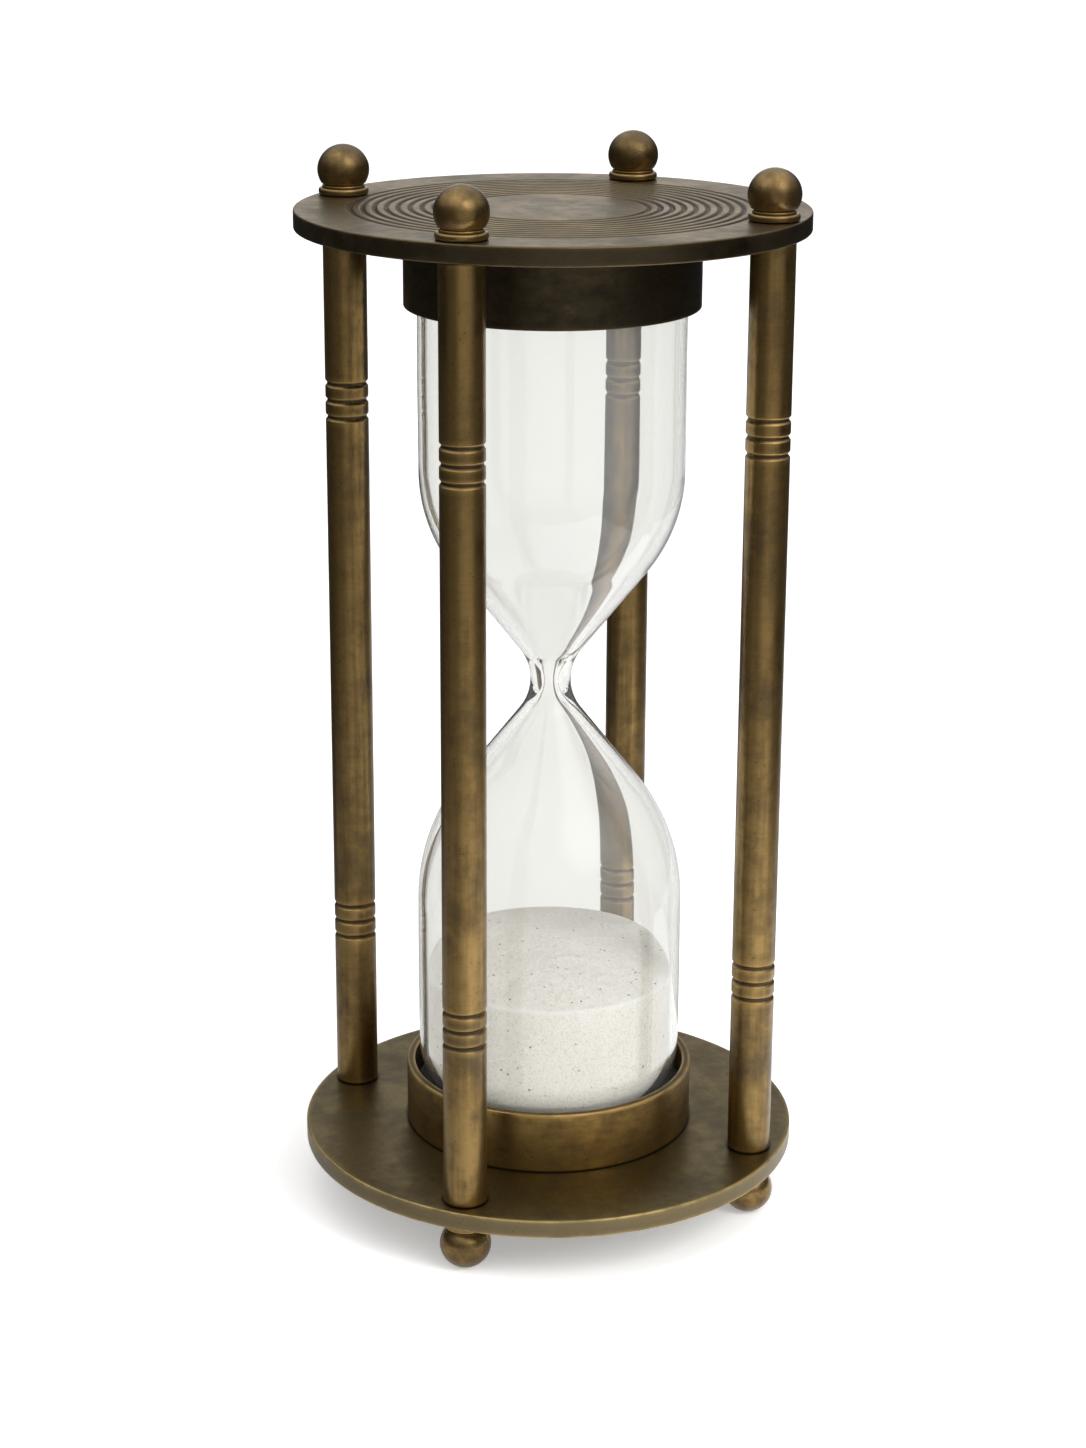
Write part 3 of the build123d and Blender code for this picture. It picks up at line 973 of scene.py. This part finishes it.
def stage_sheet(name, low, high, height, left=1.0, right=1.0):
    """A level pale sheet of the stage between two corners, square to the camera, that glows a
    little. left and right say how bright its two sides are."""
    n = Nodes(name)
    place = n.tree.nodes.new("ShaderNodeTexCoord").outputs["Object"]
    split = n.tree.nodes.new("ShaderNodeSeparateXYZ")
    n.tree.links.new(place, split.inputs[0])
    shade = n.span(split.outputs["X"], SHADE_FROM, SHADE_TO, left, right)
    cloud = n.span(n.noise(place, 3.0, 2.0, 0.5), 0.0, 1.0, 0.90, 0.92)
    tone = n.math("MULTIPLY", cloud, shade)
    n.set(Base_Color=n.vector(tone, tone, tone), Roughness=0.9)
    n.set(Emission_Color=(1.0, 1.0, 1.0, 1.0), Emission_Strength=n.math("MULTIPLY", shade, SHEET_GLOW))
    mesh = bmesh.new()
    corners = [(low[0], low[1]), (high[0], low[1]), (high[0], high[1]), (low[0], high[1])]
    mesh.faces.new([mesh.verts.new((x, y, 0.0)) for x, y in corners])
    data = bpy.data.meshes.new(name)
    mesh.to_mesh(data)
    mesh.free()
    data.materials.append(n.material)
    sheet = bpy.data.objects.new(name, data)
    sheet.location.z = height
    sheet.rotation_euler.z = CAMERA_TURN
    bpy.context.scene.collection.objects.link(sheet)
    return sheet


def stage_floor():
    """A large floor that reflections don't show, and on it sheets of paper that only they show."""
    floor = stage_sheet("pale_floor", (-60.0, -60.0), (60.0, 60.0), 0.0)
    floor.visible_glossy = False
    floor.visible_transmission = False
    front = stage_sheet("paper_in_front", (-0.36, -0.34), (0.29, 0.10), 0.02 * MM, left=0.25)
    behind = stage_sheet("paper_behind", (-0.20, 0.10), (0.36, 2.2), 0.02 * MM, left=0.2, right=0.4)
    for paper in (front, behind):
        paper.visible_camera = False
        paper.visible_transmission = False
        paper.visible_diffuse = False
        paper.visible_shadow = False


def soft_light(name, place, target, size, power, colour=(1.0, 1.0, 1.0)):
    """A rectangular softbox aimed at a point; its reflection is left to the glows of the studio."""
    data = bpy.data.lights.new(name, "AREA")
    data.shape = "RECTANGLE"
    data.size, data.size_y = size
    data.energy = power
    data.color = colour
    light = bpy.data.objects.new(name, data)
    light.location = place
    light.rotation_euler = (Vector(target) - Vector(place)).to_track_quat("-Z", "Y").to_euler()
    light.visible_glossy = False
    light.visible_transmission = False
    bpy.context.scene.collection.objects.link(light)


def around(turn, distance, height):
    """A place around the object: turn is in degrees, anticlockwise from the camera's side."""
    angle = CAMERA_TURN - math.pi / 2 + math.radians(turn)
    return Vector((distance * math.cos(angle), distance * math.sin(angle), height))


def set_camera():
    """A long lens in front and a little to the left, looking down at the object."""
    data = bpy.data.cameras.new("camera")
    data.lens = CAMERA_LENS
    data.sensor_width = CAMERA_SENSOR
    data.clip_start = 0.01
    data.clip_end = 200.0
    camera = bpy.data.objects.new("camera", data)
    turn = Matrix.Rotation(CAMERA_TURN + CAMERA_YAW, 4, "Z")
    tilt = Matrix.Rotation(math.pi / 2 - CAMERA_PITCH, 4, "X")
    roll = Matrix.Rotation(CAMERA_ROLL, 4, "Z")
    camera.matrix_world = Matrix.Translation(around(0, CAMERA_DISTANCE, CAMERA_HEIGHT)) @ turn @ tilt @ roll
    bpy.context.scene.collection.objects.link(camera)
    bpy.context.scene.camera = camera


def glow(tree, target, none_at, full_at, strength, colour=(1.0, 1.0, 1.0)):
    """Light of the world that changes smoothly from none to full between two cosines of the angle
    to a target direction."""
    dot = tree.nodes.new("ShaderNodeVectorMath")
    dot.operation = "DOT_PRODUCT"
    tree.links.new(tree.nodes.new("ShaderNodeTexCoord").outputs["Generated"], dot.inputs[0])
    dot.inputs[1].default_value = Vector(target).normalized()
    span = tree.nodes.new("ShaderNodeMapRange")
    span.interpolation_type = "SMOOTHSTEP"
    tree.links.new(dot.outputs["Value"], span.inputs["Value"])
    span.inputs["From Min"].default_value = none_at
    span.inputs["From Max"].default_value = full_at
    span.inputs["To Max"].default_value = strength
    scaled = tree.nodes.new("ShaderNodeVectorMath")
    scaled.operation = "SCALE"
    scaled.inputs[0].default_value = colour
    tree.links.new(span.outputs["Result"], scaled.inputs["Scale"])
    return scaled.outputs["Vector"]


def sum_of(tree, glows):
    """All the glows of a list added up."""
    total = glows[0]
    for one in glows[1:]:
        add = tree.nodes.new("ShaderNodeVectorMath")
        add.operation = "ADD"
        tree.links.new(total, add.inputs[0])
        tree.links.new(one, add.inputs[1])
        total = add.outputs["Vector"]
    return total


def only_for(tree, ray, special, usual):
    """Special light, or a plain colour, for one kind of ray, and the usual light for the others."""
    choice = tree.nodes.new("ShaderNodeMix")
    choice.data_type = "RGBA"
    tree.links.new(tree.nodes.new("ShaderNodeLightPath").outputs[ray], choice.inputs["Factor"])
    tree.links.new(usual, choice.inputs["A"])
    if isinstance(special, bpy.types.NodeSocket):
        tree.links.new(special, choice.inputs["B"])
    else:
        choice.inputs["B"].default_value = special
    return choice.outputs["Result"]


def studio_world():
    """A bright ceiling over a dim horizon, with soft glows in front and low behind. What is seen
    through the glass is plain and pale, and dimmer overhead. The backdrop past the floor is white."""
    world = bpy.data.worlds.new("studio")
    world.use_nodes = True
    tree = world.node_tree
    up = (0, 0, 1)
    everywhere = (-2.0, -1.1)  # both are below any cosine
    room = [
        glow(tree, up, 0.10, 1.0, 1.30),
        glow(tree, up, -1.0, -0.9, 0.03),
        glow(tree, around(-34, 1.0, -0.30), 0.60, 0.98, 0.08, (1.0, 0.93, 0.82)),
        glow(tree, around(18, 1.0, -0.06), 0.66, 0.99, 0.42, (1.0, 0.97, 0.93)),
        glow(tree, around(40, 1.0, 0.80), 0.90, 0.995, 1.8, (1.0, 0.98, 0.95)),
        glow(tree, around(180, 1.0, 0.10), 0.93, 0.995, 0.78, (1.0, 0.96, 0.88)),
    ]
    plain = [glow(tree, up, 0.80, 0.30, 0.69, PLAIN_WHITE), glow(tree, up, *everywhere, 0.33, PLAIN_WHITE)]
    light = only_for(tree, "Is Transmission Ray", sum_of(tree, plain), sum_of(tree, room))
    light = only_for(tree, "Is Camera Ray", (1.0, 1.0, 1.0, 1.0), light)
    tree.links.new(light, tree.nodes["Background"].inputs["Color"])
    bpy.context.scene.world = world


def studio_lights():
    """A key at the right, a fill at the left and a low one in front."""
    middle = (0.0, 0.0, 0.14)
    soft_light("key", around(48, 1.2, 1.0), middle, (0.45, 0.8), 9.0)
    soft_light("fill", around(-70, 1.5, 0.6), middle, (0.7, 1.0), 3.0, (1.0, 0.95, 0.88))
    soft_light("low_fill", around(5, 1.3, 0.12), (0.0, 0.0, 0.04), (0.8, 0.3), 4.2)


stage_floor()
set_camera()
studio_world()
studio_lights()
bpy.context.scene.view_settings.view_transform = "Standard"
